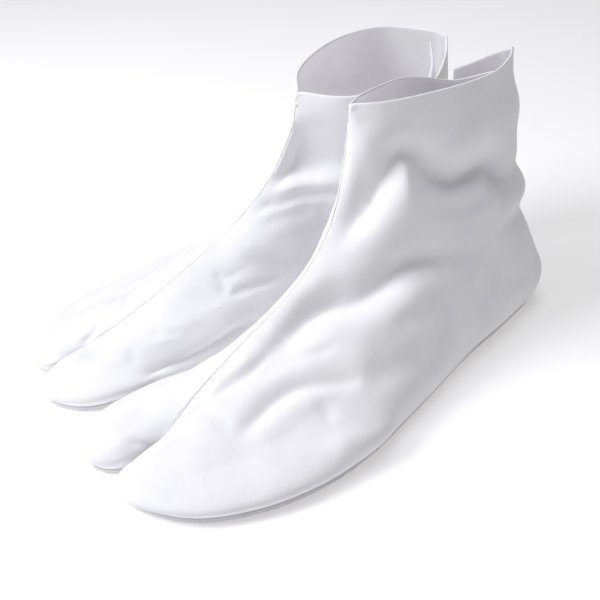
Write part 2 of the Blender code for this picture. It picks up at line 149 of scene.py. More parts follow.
def unit(vectors: Array) -> Array:
    """The vectors at length one."""
    return vectors / np.maximum(np.linalg.norm(vectors, axis=-1, keepdims=True), TINY)


def dot(a: Array, b: Array) -> Array:
    """Row by row dot products."""
    return np.sum(a * b, axis=-1)


def smooth_step(t: Array) -> Array:
    """0 below 0, 1 above 1, with a soft rise between."""
    t = np.clip(t, 0, 1)
    return t * t * (3 - 2 * t)


def lengths_along(line: Array) -> Array:
    """How far along a line each of its points lies."""
    return np.concatenate([[0], np.cumsum(np.linalg.norm(np.diff(line, axis=0), axis=1))])


def grid_normals(grid: Array, side: Side) -> Array:
    """Directions straight out of the cloth.

    Args:
        grid: Points, columns by rows.
        side: The side of the foot that the cloth covers.

    Returns:
        A unit vector for each point.
    """
    normals = np.cross(np.gradient(grid, axis=1), np.gradient(grid, axis=0)) * side.value
    normals[-1] = FORWARD
    return unit(normals)


def softened(vectors: Array, reach: float) -> Array:
    """A grid of vectors, evened out.

    Args:
        vectors: Columns by rows by three.
        reach: How many cells the evening reaches.

    Returns:
        The vectors.
    """
    for _ in range(2 * round(2 * reach ** 2)):  # along and up in turn
        wide = np.pad(vectors, ((1, 1), (0, 0), (0, 0)), mode="edge")
        vectors = np.swapaxes((wide[:-2] + 2 * vectors + wide[2:]) / 4, 0, 1)
    return vectors


def beside_spans(points: Array,
                 path: Array) -> Iterator[tuple[Array, Array, Array]]:
    """Where each point lies against each straight span of a path.

    Args:
        points: Any array of points.
        path: The points of a line.

    Yields:
        For each span, the distance to it, the share of the whole line at which it is nearest,
        and the offset from there.
    """
    for number, (start, end) in enumerate(zip(path[:-1], path[1:])):
        run = end - start
        along = np.clip((points - start) @ run / max(run @ run, TINY ** 2), 0, 1)
        offset = points - start - along[..., None] * run
        yield np.linalg.norm(offset, axis=-1), (number + along) / (len(path) - 1), offset


@dataclass(frozen=True)
class Cut:
    """What one upper is cut to, in mm, at its sections from the heel seam round to the slot."""

    side: Side
    foot: Rows  # x and y on the sole's edge, the swell over it and its height
    hem: Rows  # x, y and z of the top line, as far as the front corner
    ankle: Rows  # how far it bows out and up, at one third and at two thirds
    instep: Rows  # the same, from the back of the ball on
    seed: float  # sets its unevenness apart from the others'
    folds: Sequence[Fold]

    def surface(self) -> Pair:
        """The outer face before its folds.

        Returns:
            Points in metres, columns by rows, and how far up the cloth each one is.
        """
        at = np.arange(COLUMNS * FINE + 1) / (COLUMNS * FINE)
        foot = flow_through(KNOTS, self.foot, at)
        bow = flow_through(KNOTS, self.ankle + self.instep, at)
        edge = np.column_stack([foot[:, :2], np.zeros(len(at))])
        along = np.gradient(edge[::FINE], axis=0)
        level = np.stack([-along[:, 1], along[:, 0], 0 * along[:, 0]], axis=1) * self.side.value
        level[0], level[-1] = -FORWARD, FORWARD
        outward = unit(flow_through(at[::FINE], unit(level), at))
        bottom = edge + UP * (SOLE_CLOTH + SEAM_GAP) / MM
        swell = edge + outward * foot[:, 2:3] + UP * foot[:, 3:4]
        # the hem as far as the front corner, then the instep seam, which turns sharply there
        line, corner = self.hem + INSTEP_SEAM, len(self.hem) - 1
        front = at <= KNOTS[corner]
        top = np.concatenate([flow_through(KNOTS[:corner + 1], line[:corner + 1], at[front]),
                              flow_through(KNOTS[corner:], line[corner:], at[~front])])
        low = swell + (top - swell) / 3 + outward * bow[:, 0:1] + UP * bow[:, 1:2]
        high = swell + (top - swell) * 2 / 3 + outward * bow[:, 2:3] + UP * bow[:, 3:4]
        ribs = [self.rib(np.array(points) * MM) for points in zip(bottom, swell, low, high, top)]
        grid, ups = (np.array(part) for part in zip(*ribs))
        return self.round_corner(grid, ups), ups

    @staticmethod
    def round_corner(grid: Array, ups: Array) -> Array:
        """Rounds the crease that runs down the cloth from the opening's front corner.

        Args:
            grid: Points, columns by rows.
            ups: How far up the cloth each one is.

        Returns:
            The points, moved beside the crease only.
        """
        once = softened(grid, CREASE_REACH * FINE)
        even = 2 * once - softened(once, CREASE_REACH * FINE)
        from_crease = np.abs(np.arange(len(grid)) / FINE - CORNER_COLUMN)
        share = smooth_step(2 - from_crease / (2 * CREASE_REACH))[:, None]
        share = share * smooth_step((1 - ups) * CREASE_HOLD) * smooth_step(ups * CREASE_HOLD)
        return grid + (even - grid) * share[..., None]

    @staticmethod
    def rib(points: Array) -> Pair:
        """A curve from the sole up to the top line, with its points closer beside the top line.

        Args:
            points: The five points that it flows through.

        Returns:
            Its points, and how far up the cloth each one is.
        """
        knots = lengths_along(points)
        curve = flow_through(knots, points, np.linspace(0, knots[-1], RIB_SAMPLES))
        length = lengths_along(curve)
        back = np.arange(ROWS * FINE, -1, -1)
        shares = (back[::-1] / back[0]) ** ROW_CROWDING
        from_top = back * (EDGE_STEP + EDGE_GROWTH * back)
        shares = 1 - np.minimum((1 - shares) * length[-1], from_top) / length[-1]
        places = [np.interp(shares * length[-1], length, axis) for axis in curve.T]
        return np.stack(places, 1), shares ** (1 / ROW_CROWDING)


# The sections, in the order of every table: heel seam, heel corner, heel side, heel front, ankle
# front, waist (the front corner), arch, ball back, ball, little toe or big toe root, toe corner
# or big toe side, toe tip, slot front, slot side and slot end
INSTEP_SEAM = (
    (100.5, -8.5, 95.5), (113.2, -3.7, 69.6), (134.7, -0.6, 50.3), (163.1, 0.2, 34.4), (187, 2.4, 21.8),
    (200.6, 5.8, 13.4), (203, 6.5, 10.6), (203.2, 6.5, 8.4), (203, 6.5, 6.2),
)
OUTER_FOOT = (
    (1, 0, 3.5, 8), (9, 14.5, 3, 7), (30, 22.5, 2.5, 6), (62, 31, 2.5, 6), (77, 36, 2.5, 6),
    (88, 40, 2.5, 6), (114, 49, 2.5, 6), (140, 57, 2.5, 6), (166, 59.7, 2.5, 6), (192, 55.5, 2.5, 6),
    (215, 43.5, 2.5, 6), (229.3, 21, 2.5, 5.5), (225.5, 9.5, 1, 5.5), (213.5, 8.2, 0.5, 5),
    (203, 6.5, 0.1, 4.3),
)
INNER_FOOT = (
    (1, 0, 3.5, 8), (9, -13.5, 2.5, 7), (30, -21, 2, 6), (62, -20, 2, 6), (77, -18.8, 2, 6),
    (88, -18, 2, 6), (113, -18.5, 2, 6), (140, -22.5, 2, 6), (167, -26.8, 2, 6), (194, -29.2, 2, 6),
    (219.5, -25.5, 2, 6), (232.5, -8.5, 2, 5.5), (226.5, 1.8, 1, 5.5), (212.5, 4.2, 0.5, 5),
    (203, 6.5, 0.1, 4.3),
)
OUTER_INSTEP = (
    (1.5, 1, 0, 0), (0, 0, -1, -0.5), (0, 0, -0.5, 0), (1, 2, 0.5, 1.5), (1.5, 3.5, 0.5, 2.5),
    (0, 1.5, 0, 1.5), (0.5, 1, 0, 0.5), (0, 0, 0, 0),
)
INNER_INSTEP = (
    (0.5, 2, 0.5, 2), (0, 0, 0, 0), (0, 0, 0, 0), (1, 2.5, 0.5, 1.5), (2, 4.5, 1, 3.5), (0.5, 2.5, 0, 2),
    (0.5, 1, 0, 0.5), (0, 0, 0, 0),
)
INNER_ANKLE = (
    (-4, 0, -4, 0), (-1, 0, -1, 0), (1, 0, 0.5, 0), (1, 0, 1, 0), (1, 0, 2, 0), (1.5, 0, 3, 0),
    (1, 1, 1.5, 1),
)
LEFT_OUTER = Cut(Side.OUTER, OUTER_FOOT, hem=(
    (9, -5, 123.5), (17.5, 1.5, 122), (33, 7.8, 121.5), (64, 7.3, 121.5), (88, 1.2, 121.5),
    (98.5, -6, 121.5),
), ankle=(
    (-4, 0, -4, 0), (-1, 0, -1, 0), (2, 0, 1.5, 0), (4, 0, 3, 0), (4, 0, 3, 0), (4, 1, 3, 0),
    (2.5, 1.5, 1.5, 1),
), instep=OUTER_INSTEP, seed=3.0, folds=(
    # round the ankle: the trough, the cloth that sags over it, and the ridges below it
    Fold(((540, 935), (515, 896), (490, 858), (462, 818), (431, 790), (400, 775), (370, 780), (347, 800),
        (328, 818), (310, 816), (294, 775), (278, 733), (260, 704), (238, 696), (215, 700), (193, 712),
        (178, 710), (167, 676), (150, 644), (126, 628), (95, 622), (55, 610)), 8, 5.4, 1.7, 0.2),
    Fold(((430, 935), (369, 935), (318, 915), (291, 885), (247, 862), (203, 862), (167, 775), (100, 715)),
        -2, 7, 1.8, 1.5),
    Fold(((480, 800), (440, 750), (405, 725), (375, 705), (345, 680)), -0.3, 4.4),
    Fold(((315, 690), (280, 655), (240, 625), (205, 625), (188, 610), (180, 550)), -1.2, 4.4),
    Fold(((178, 690), (172, 630), (176, 560)), 1.2, 2.2),
    # across the instep to the toes
    Fold(((740, 870), (723, 858), (697, 836), (677, 826), (646, 846), (615, 867), (595, 858)), 1.7, 1.9,
        1.3, 0.7),
    Fold(((690, 828), (646, 838), (603, 842), (573, 795), (547, 733), (521, 668), (490, 608), (451, 555),
        (400, 513), (340, 484), (260, 460), (170, 435)), 7.4, 5.6, 1.4, 0.3),
    Fold(((640, 735), (599, 745), (558, 690), (518, 610), (486, 552), (423, 475), (330, 420), (230, 385)),
        -0.8, 4.8),
    Fold(((731, 918), (677, 913), (633, 940), (585, 905), (547, 870)), -1.8, 3.6, 1, 1.3),
    Fold(((690, 800), (660, 768), (620, 707), (587, 648), (549, 589)), 0.7, 1.6),
    # over the four toes
    Fold(((708, 535), (692, 562), (668, 592), (646, 600), (620, 573), (590, 510), (556, 435), (525, 380)),
        2, 2.3, 1.4, 0.5),
    Fold(((690, 470), (665, 500), (640, 520), (618, 500), (590, 450)), -0.6, 3),
    Fold(((700, 690), (677, 716), (646, 698), (615, 640), (579, 570)), -0.9, 3.4),
    Fold(((604, 455), (596, 405), (592, 355)), 0.7, 1.9, 1, 0.9),
    Fold(((540, 378), (500, 330), (460, 278), (420, 228), (370, 175)), 1.2, 3.6),
    Fold(((470, 445), (435, 400), (400, 360), (355, 332), (300, 315)), 0.7, 3.2),
    Fold(((605, 235), (575, 198), (545, 156), (490, 122)), -1.5, 2.8),
    # small pulls at the front corner of the opening
    Fold(((410, 968), (380, 958), (345, 952)), 0.8, 1.3),
    Fold(((428, 958), (385, 930), (345, 925)), 0.9, 1.4),
    Fold(((440, 940), (395, 900), (360, 893)), 0.9, 1.4),
    # beside the toe seam
    Fold(((805, 853), (785, 864), (764, 870), (742, 867)), 1.1, 1.2),
    Fold(((764, 870), (744, 791), (727, 688), (715, 579)), 0.6, 1.9),
    Fold(((784, 958), (755, 937), (725, 934)), 0.9, 1.3),
    # the heel
    Fold(((25, 475), (80, 468), (130, 468), (200, 485)), 1.8, 3.8),
    Fold(((40, 214), (100, 183), (160, 201), (220, 230)), -0.6, 4.1, 0.7, 0.8),
    # the back of the ankle, which bulges between two dents
    Fold(((20, 850), (70, 850), (120, 860)), -1.6, 6),
    Fold(((30, 550), (90, 555), (130, 560)), -1.4, 4),
    Fold(((20, 635), (72, 644), (149, 675)), 1.2, 2.6),
))
LEFT_INNER = Cut(Side.INNER, INNER_FOOT, hem=(
    (9, -5, 123.5), (17, -10.3, 121), (33, -17, 116.5), (62, -18.7, 119.5), (88.5, -12.2, 121),
    (98.5, -6, 121.5),
), ankle=INNER_ANKLE, instep=INNER_INSTEP, seed=4.0, folds=(
    Fold(((450, 740), (400, 710), (340, 680), (270, 670), (180, 650)), 2.4, 3.8, 1.3),
    Fold(((420, 620), (360, 580), (280, 570), (200, 570)), -1.2, 3.8),
    Fold(((180, 360), (280, 370), (380, 420), (470, 520), (530, 660)), 2.4, 4.5, 1.2),
    Fold(((240, 270), (340, 290), (440, 380), (510, 500)), -1.2, 3.8),
    Fold(((500, 340), (560, 240), (620, 220), (700, 300)), 1.4, 3.8),
    Fold(((660, 620), (630, 540), (600, 440)), 1, 2.6),
    Fold(((858, 580), (880, 650), (905, 660), (935, 620), (962, 560)), 0.7, 1.1),
    Fold(((825, 520), (812, 620), (800, 760)), 0.4, 2.2),
    Fold(((745, 900), (722, 820), (700, 765)), 0.4, 1.6),
    Fold(((775, 930), (762, 850), (752, 780)), 0.4, 1.4),
    Fold(((60, 420), (120, 440), (180, 470)), 1.2, 3.4),
))
RIGHT_OUTER = Cut(Side.OUTER, foot=OUTER_FOOT[:6] + (
    (114, 47, 2.5, 6), (140, 53.5, 2, 5.5), (166, 54.5, 1.5, 5), (192, 51.5, 1.5, 5), (214.5, 40.5, 2, 5),
) + OUTER_FOOT[11:], hem=(
    (12, -7, 118.5), (12.5, 7, 118), (25, 28, 117), (60, 26, 116.5), (86.5, 8, 114.5), (98, -11.5, 113.5),
), ankle=(
    (-4, 0, -4, 0), (-1, 0, -1, 0), (2, 0, 1.5, 0), (3, 0, 6, 0), (2, 0, 14, 0), (2, 0, 19, 0),
    (1, 0, 7.5, 1),
), instep=OUTER_INSTEP, seed=41.0, folds=(
    Fold(((520, 860), (490, 830), (460, 730), (400, 650), (330, 660), (260, 680), (180, 630), (80, 620)),
        4.2, 3.6, 1.3),
    Fold(((460, 640), (400, 570), (320, 570), (240, 590)), -1.8, 3.8),
    Fold(((430, 780), (360, 760), (280, 780), (200, 730)), -1.8, 5.2),
    Fold(((160, 380), (260, 370), (350, 410), (450, 500), (540, 660), (600, 800)), 2.8, 4.5, 1.2),
    Fold(((260, 290), (360, 320), (460, 410), (540, 560)), -1.5, 4.1),
    Fold(((580, 470), (630, 570), (670, 580), (730, 520)), 1.3, 3),
    Fold(((782, 800), (815, 880), (846, 903), (870, 830)), 1, 1.4),
    Fold(((665, 480), (700, 640), (725, 780), (755, 920)), 1.1, 2),
    Fold(((715, 530), (750, 660), (780, 770), (800, 850)), -0.6, 2.2),
    Fold(((520, 700), (545, 778), (575, 830)), 0.9, 2.4),
    Fold(((50, 440), (110, 450), (180, 470)), 1.5, 3.4),
))
RIGHT_INNER = Cut(Side.INNER, INNER_FOOT, hem=(
    (12, -7, 118.5), (19, -15.5, 113), (33, -25, 107), (64, -32, 112.5), (86, -27.5, 113),
    (98, -11.5, 113.5),
), ankle=INNER_ANKLE, instep=INNER_INSTEP, seed=42.0, folds=(
    # round the ankle
    Fold(((515, 935), (460, 815), (400, 732), (359, 722), (280, 730), (180, 680)), 5.6, 4.2, 4, 0.6),
    Fold(((580, 990), (538, 885), (492, 753), (441, 675), (390, 620), (330, 605), (250, 620), (170, 600)),
        2.2, 2.6, 1.2, 0.6),
    Fold(((500, 835), (440, 735), (392, 690), (341, 680)), -1.3, 3),
    Fold(((540, 800), (492, 685), (441, 596), (400, 540)), 1.2, 2.4),
    Fold(((376, 585), (385, 500), (415, 415)), 0.9, 3.6),
    Fold(((590, 720), (545, 630), (515, 540), (487, 460), (450, 400)), -1.1, 4.5, 1.5),
    # a star of small folds on the instep
    Fold(((580, 680), (538, 575), (508, 470), (477, 395), (430, 330)), 1.4, 2.8, 1.2, 0.8),
    Fold(((595, 505), (564, 465), (533, 420), (500, 370), (460, 325)), 1, 1.4),
    Fold(((620, 745), (606, 667), (597, 585), (586, 495)), 0.9, 1.6),
    Fold(((610, 665), (585, 625), (555, 595)), 0.6, 1.5),
    # the deep trough along the ball of the foot, and the cloth that sags over it
    Fold(((712, 275), (690, 220), (670, 172), (650, 142), (626, 122), (605, 120), (579, 124), (554, 138),
        (530, 165), (490, 205)), 5.2, 3.4, 1.5, 0.3),
    Fold(((718, 560), (687, 500), (662, 500), (626, 465), (600, 435), (574, 410), (544, 405)), -1, 3.6,
        0.9),
    Fold(((690, 177), (650, 117), (610, 107), (570, 119)), -0.8, 2.2),
    Fold(((704, 620), (682, 530), (655, 445)), 0.7, 1.5),
    Fold(((729, 570), (724, 480), (716, 380)), 0.6, 1.7),
    # beside the slot
    Fold(((777, 827), (795, 749), (804, 663)), 1.3, 2.4, 1.2, 1.2),
    Fold(((732, 954), (744, 921), (766, 929)), 0.8, 1.4),
    # the heel
    Fold(((160, 360), (260, 380), (360, 431), (440, 500)), 1.1, 4.2),
    Fold(((60, 420), (120, 440), (180, 460)), 1.2, 3.4),
))


@dataclass
class Drape:
    """A plain sheet, and what is pressed into it: folds, seams and soft unevenness."""

    cut: Cut
    grid: Array  # its points, columns by rows
    ups: Array  # how far up the cloth each one is
    groove_depth: float = 0.32 * MM
    groove_width: float = 0.5 * MM
    pucker_depth: float = 0.28 * MM
    pucker_reach: float = 7.0 * MM
    pucker_period: float = 7.0 * MM
    pucker_drift: float = 31.0 * MM
    pucker_wander: float = 2.2  # how far the drift shifts them, in radians
    pucker_swell: float = 1.7  # they come and go over this many drifts
    pucker_share: float = 0.45  # and by this share of their depth
    uneven: Rows = ((0.40, 26.0), (0.11, 11.0))  # the depth and size of each wave, in mm
    offsets: Sequence[float] = (0.37, 9.0)  # set sheets and waves apart
    foot_hold: float = 9.0
    top_hold: float = 6.0
    top_start: float = 0.12
    fold_steps: int = 28
    fold_ends: float = 0.22
    fold_flank: float = 1.35
    fold_joint: float = 6.0
    direction_reach: float = 1.6

    def pressed(self) -> Array:
        """The sheet with all its relief.

        Returns:
            The moved points.
        """
        normals = grid_normals(self.grid, self.cut.side)
        normals = unit(softened(normals, self.direction_reach * FINE))
        hold = smooth_step(self.ups * self.foot_hold)
        hold *= smooth_step((1 - self.ups) * self.top_hold + self.top_start)
        folds = np.array([self.fold(fold) for fold in self.cut.folds])
        # troughs that meet are joined, so that they don't add up to a pit, and so are ridges
        troughs, ridges = (np.cbrt(np.sum(np.maximum(part, 0) ** 3, axis=0)) for part in (folds, -folds))
        push = (troughs - ridges) * hold + self.unevenness() * hold + self.seams()
        return self.grid - normals * push[..., None]

    def fold(self, fold: Fold) -> Array:
        """How far inward one fold presses each point.

        Args:
            fold: The fold.

        Returns:
            Depths in metres.
        """
        last = len(fold.path) - 1
        places = flow_through(np.arange(last + 1), np.array(fold.path) / SHARE,
                              np.linspace(0, last, self.fold_steps))
        path = np.array([self.spot(*place) for place in places])
        upward = unit(np.gradient(self.grid, axis=1))
        total = np.zeros(self.ups.shape)
        for gap, share, offset in beside_spans(self.grid, path):
            rise = dot(unit(offset), upward)
            width = fold.width * (1 + (fold.above - 1) * (1 + rise) / 2) * MM
            ends = smooth_step(share / self.fold_ends) * smooth_step((1 - share) / self.fold_ends)
            bottom = fold.soft * width
            slope = (np.hypot(gap, bottom) - bottom) / width
            total += (ends * np.exp(-slope ** self.fold_flank)) ** self.fold_joint
        return fold.depth * MM * total ** (1 / self.fold_joint)

    def spot(self, along: float, up: float) -> Array:
        """The point at shares along and up the sheet.

        Args:
            along: The share along the sock.
            up: The share up the cloth.

        Returns:
            One point.
        """
        column = min(max(along, 0), 1) * (len(self.grid) - 1)
        first = min(int(column), len(self.grid) - 2)
        ends = [np.array([np.interp(up, self.ups[c], axis) for axis in self.grid[c].T])
                for c in (first, first + 1)]
        return ends[0] * (first + 1 - column) + ends[1] * (column - first)

    def unevenness(self) -> Array:
        """Slow, shallow waves all over the sheet.

        Returns:
            Depths in metres.
        """
        flat = self.grid.reshape(-1, 3) / MM
        push = np.zeros(len(flat))
        for depth, size in self.uneven:
            seed, (up, deep) = self.cut.seed, self.offsets
            shift = Vector((seed, seed * up, depth * deep))
            push += depth * MM * np.array([noise.noise(Vector(p / size) + shift) for p in flat])
        return push.reshape(self.ups.shape)

    def seams(self) -> Array:
        """The groove along the instep seam and the slot, and the puckers beside it.

        Returns:
            Depths in metres.
        """
        line = np.concatenate([self.grid[CORNER_COLUMN * FINE:, -1], self.grid[-1, -2::-1]])
        gap, share = np.full(self.ups.shape, np.inf), np.zeros(self.ups.shape)
        for distance, place, _ in beside_spans(self.grid, line):
            share = np.where(distance < gap, place, share)
            gap = np.minimum(distance, gap)
        length = lengths_along(line)
        at = 2 * math.pi * np.interp(share * (len(line) - 1), np.arange(len(line)), length)
        wave = np.sin(at / self.pucker_period + self.pucker_wander * np.sin(at / self.pucker_drift))
        strength = np.sin(at / (self.pucker_swell * self.pucker_drift) + 1)
        strength = 1 - self.pucker_share + self.pucker_share * strength
        puckers = self.pucker_depth * wave * strength * np.exp(-gap / self.pucker_reach)
        heel = np.linalg.norm(self.grid - self.grid[:1], axis=-1)
        groove = self.groove_depth * np.exp(-(np.minimum(gap, heel) / self.groove_width) ** 2)
        return puckers * smooth_step(gap / self.groove_width) + groove


@dataclass
class Upper:
    """One upper as it is draped, which gives the two faces of its cloth."""

    cut: Cut

    def __post_init__(self) -> None:
        """Drapes the upper."""
        self.grid = Drape(self.cut, *self.cut.surface()).pressed()
        self.normals = grid_normals(self.grid, self.cut.side)

    def rim(self, other: "Upper", seam: tuple, beside: Array,
            out: Array) -> tuple[Array, Array, Array]:
        """A sewn edge, half a gap from its partner's.

        Args:
            other: The upper that it is sewn to.
            seam: Where the edge lies in the grid.
            beside: The points next to it.
            out: Directions out of the sock along it.

        Returns:
            The rim's outer and inner points, and the directions away from the seam.
        """
        mine = self.grid[seam]
        along = unit(np.gradient(mine, axis=0))
        out = unit(out - dot(out, along)[:, None] * along)
        across = np.cross(out, along)
        across *= np.sign(dot(across, beside - mine))[:, None]
        depth = UPPER_CLOTH / np.clip(dot(out, self.normals[seam]), LEAST_SLANT, 1)[:, None]
        rim = (mine + other.grid[seam]) / 2 + across * SEAM_GAP / 2
        return rim, rim - out * depth, across

    def walls(self, other: "Upper") -> Pair:
        """The cloth's two faces, with rims that match the other upper's.

        Args:
            other: The upper that it is sewn to.

        Returns:
            Both faces, columns by rows.
        """
        grid, normals = self.grid, self.normals
        outer, inner = grid.copy(), grid - normals * UPPER_CLOTH
        inner[:, 0] = grid[:, 0] - unit(normals[:, 0] * (1, 1, 0)) * UPPER_CLOTH
        corner, end = CORNER_COLUMN * FINE, -SLOT_COLUMNS * FINE
        heel, slot, instep = (0, slice(None)), (-1, slice(None)), (slice(corner, None), -1)
        instep_out = unit(normals[instep] + other.normals[instep])
        turn = smooth_step(np.linspace(0, 1, 1 - end))[:, None]
        instep_out[end - 1:] = unit((1 - turn) * instep_out[end - 1] + turn * FORWARD)
        below = np.concatenate([grid[corner:-1, -2], grid[-2:-1, -2]])
        seams = ((heel, grid[1], unit(normals[heel] + other.normals[heel])),
                 (slot, grid[-2], np.broadcast_to(FORWARD, grid[slot].shape)),
                 (instep, below, instep_out))
        for seam, beside, out in seams:
            outer[seam], inner[seam], across = self.rim(other, seam, beside, out)
        rims = inner[corner:end, -1]
        for row in range(-1 - NARROW_ROWS * FINE, -1):
            backs = inner[:end, row]
            gaps = np.linalg.norm(backs[:, None] - rims, axis=2)
            nearest, gaps = gaps.argmin(axis=1), gaps.min(axis=1)
            clear = dot(backs - rims[nearest], across[nearest]) + NARROW_STEP * (row + 1)
            ease = NARROW_EASE * smooth_step(gaps / NARROW_REACH)
            short = (np.hypot(clear, ease) - clear) / 2 * smooth_step(2 - gaps / NARROW_REACH)
            for face in (outer, inner):
                face[:end, row] += short[:, None] * across[nearest]
        inner[:, 0, 2] = outer[:, 0, 2]
        return outer, inner


@dataclass
class Sheet:
    """One sheet of cloth with a thickness: a grid of cells between an outer and an inner face."""

    name: str
    outer: Array
    inner: Array
    rim_steps: int = 4

    def __post_init__(self) -> None:
        """Starts with every cell there and no turned edge."""
        self.hems = np.zeros(self.outer.shape[:2], bool)  # points on turned edges, which are round
        self.present = ~self.hems[1:, 1:]

    def build(self) -> Piece:
        """Makes the sheet as a closed mesh, with a UV map in metres of cloth.

        Returns:
            The object.
        """
        used = np.zeros(self.hems.shape, bool)
        turns = ((0, 0), (1, 0), (1, 1), (0, 1))
        for c, r in turns:
            used[c:used.shape[0] - 1 + c, r:used.shape[1] - 1 + r] |= self.present
        count = int(used.sum())
        number = np.full(used.shape, -1)
        number[used] = np.arange(count)
        cells = np.argwhere(self.present)
        quads = np.stack([number[cells[:, 0] + c, cells[:, 1] + r] for c, r in turns], axis=1)
        outer, inner = self.outer[used], self.inner[used]
        faced = np.cross(outer[quads[:, 1]] - outer[quads[:, 0]], outer[quads[:, 3]] - outer[quads[:, 0]])
        if np.sum(faced * (outer - inner)[quads[:, 0]]) < 0:
            quads = quads[:, ::-1]
        edges = np.concatenate([quads[:, [k, (k + 1) % 4]] for k in range(4)])
        rim = edges[~np.isin(edges @ (count, 1), edges @ (1, count))]  # edges of one cell only
        ring = np.unique(rim)
        bands = self.rounded(used, ring)
        steps = bands.shape[1]
        between = 2 * count + np.arange(len(ring) * steps).reshape(-1, steps)
        lines = np.column_stack([ring, between, ring + count])
        a, b = (lines[np.searchsorted(ring, rim[:, k])] for k in (0, 1))
        faces = [quads, quads[:, ::-1] + count]
        for k in range(steps + 1):
            faces.append(np.stack([b[:, k], a[:, k], a[:, k + 1], b[:, k + 1]], axis=1))
        points, faces = np.concatenate([outer, inner, bands.reshape(-1, 3)]), np.concatenate(faces)
        sheet = new_object(self.name, points, faces)
        lining = np.zeros(len(faces), np.int32)
        lining[len(quads):2 * len(quads)] = 1
        sheet.data.polygons.foreach_set("material_index", lining)
        flat = flat_cloth(outer, quads)
        lay_uvs(sheet, np.concatenate([flat, flat, np.repeat(flat[ring], steps, axis=0)]))
        return sheet

    def rounded(self, used: Array, ring: Array) -> Array:
        """The points that round the sheet's turned edges off.

        Args:
            used: The grid's points that are there.
            ring: The numbers of those on an edge.

        Returns:
            Edge points by steps, from the outer to the inner face.
        """
        full = np.pad(self.present, 1)
        left, right = full[:-1, :-1] | full[:-1, 1:], full[1:, :-1] | full[1:, 1:]
        low, high = full[:-1, :-1] | full[1:, :-1], full[:-1, 1:] | full[1:, 1:]
        across, up = (unit(np.gradient(self.outer, axis=axis)) for axis in (0, 1))
        away = (left.astype(float) - right)[..., None] * across
        away = unit(away + (low.astype(float) - high)[..., None] * up) * self.hems[..., None]
        outer, inner, away = (part[used][ring] for part in (self.outer, self.inner, away))
        middle, half = (outer + inner) / 2, (outer - inner) / 2
        bulge = away * np.linalg.norm(half, axis=1, keepdims=True)
        angles = np.pi * np.arange(1, self.rim_steps) / self.rim_steps
        return np.stack([middle + half * np.cos(t) + bulge * np.sin(t) for t in angles], axis=1)


def placed(name: str, data: bpy.types.ID) -> Piece:
    """Makes an object at the origin of the scene.

    Args:
        name: Its name.
        data: Its mesh, light or camera.

    Returns:
        The object.
    """
    made = bpy.data.objects.new(name, data)
    bpy.context.scene.collection.objects.link(made)
    return made


def new_object(name: str, points: Array, faces: Sequence) -> Piece:
    """Makes a smooth mesh object.

    Args:
        name: The object's name.
        points: Its points.
        faces: Its faces, as lists of point numbers.

    Returns:
        The object.
    """
    data = bpy.data.meshes.new(name)
    data.from_pydata(points.tolist(), [], [list(face) for face in faces])
    data.validate()
    data.shade_smooth()
    data.update()
    return placed(name, data)


def open_to_edit(piece: Piece) -> None:
    """Selects all of one piece in edit mode.

    Args:
        piece: The piece.
    """
    bpy.ops.object.select_all(action="DESELECT")
    bpy.context.view_layer.objects.active = piece
    piece.select_set(True)
    bpy.ops.object.mode_set(mode="EDIT")
    bpy.ops.mesh.select_all(action="SELECT")


def flat_cloth(points: Array, quads: Array) -> Array:
    """Lays a sheet out flat, at its real size and with its threads along the foot.

    Args:
        points: The sheet's points.
        quads: Its cells.

    Returns:
        A place in metres for each point.
    """
    flat = new_object("flat", points, quads.tolist())
    open_to_edit(flat)
    bpy.ops.uv.unwrap(method="CONFORMAL", margin=0)
    bpy.ops.object.mode_set(mode="OBJECT")
    layer = np.empty(len(flat.data.loops) * 2)
    flat.data.uv_layers.active.data.foreach_get("uv", layer)
    corners = np.empty(len(flat.data.loops), np.int32)
    flat.data.loops.foreach_get("vertex_index", corners)
    uvs = np.zeros((len(points), 2))
    uvs[corners] = layer.reshape(-1, 2)
    bpy.data.objects.remove(flat)
    run = points[quads[:, 1]] - points[quads[:, 0]]
    laid = uvs[quads[:, 1]] - uvs[quads[:, 0]]
    scale = np.linalg.norm(run, axis=1).sum() / np.linalg.norm(laid, axis=1).sum()
    c, s = unit(np.sum(laid * np.sign(run[:, :1]), axis=0))
    return uvs @ np.array([[c, -s], [s, c]]) * scale


def lay_uvs(piece: Piece, uvs: Array) -> None:
    """Gives a piece a UV map.

    Args:
        piece: The piece.
        uvs: A place for each of its points.
    """
    corners = np.empty(len(piece.data.loops), np.int32)
    piece.data.loops.foreach_get("vertex_index", corners)
    layer = piece.data.uv_layers.new(name="cloth")
    layer.data.foreach_set("uv", uvs[corners].astype(np.float32).ravel())


def linear(hex_colour: str) -> tuple[float, float, float, float]:
    """An sRGB hex colour as linear values.

    Args:
        hex_colour: Six hex digits.

    Returns:
        Red, green, blue and alpha.
    """
    parts = [int(hex_colour[k:k + 2], 16) / 255 for k in (0, 2, 4)]
    red, green, blue = (c / 12.92 if c <= 0.04045 else ((c + 0.055) / 1.055) ** 2.4 for c in parts)
    return red, green, blue, 1.0


def add_node(tree: bpy.types.NodeTree, kind: str, settings: Mapping[str, object] | None = None,
             inputs: Mapping[str | int, object] | None = None) -> bpy.types.bpy_prop_collection:
    """Adds a node with its settings and links.

    Args:
        tree: The node tree.
        kind: The node's type.
        settings: Values of its own properties.
        inputs: For each input, a socket to link to it or a value.

    Returns:
        The node's outputs.
    """
    node = tree.nodes.new("ShaderNode" + kind)
    for name, value in (settings or {}).items():
        setattr(node, name, value)
    for name, value in (inputs or {}).items():
        if isinstance(value, bpy.types.NodeSocket):
            tree.links.new(value, node.inputs[name])
        else:
            node.inputs[name].default_value = value
    return node.outputs


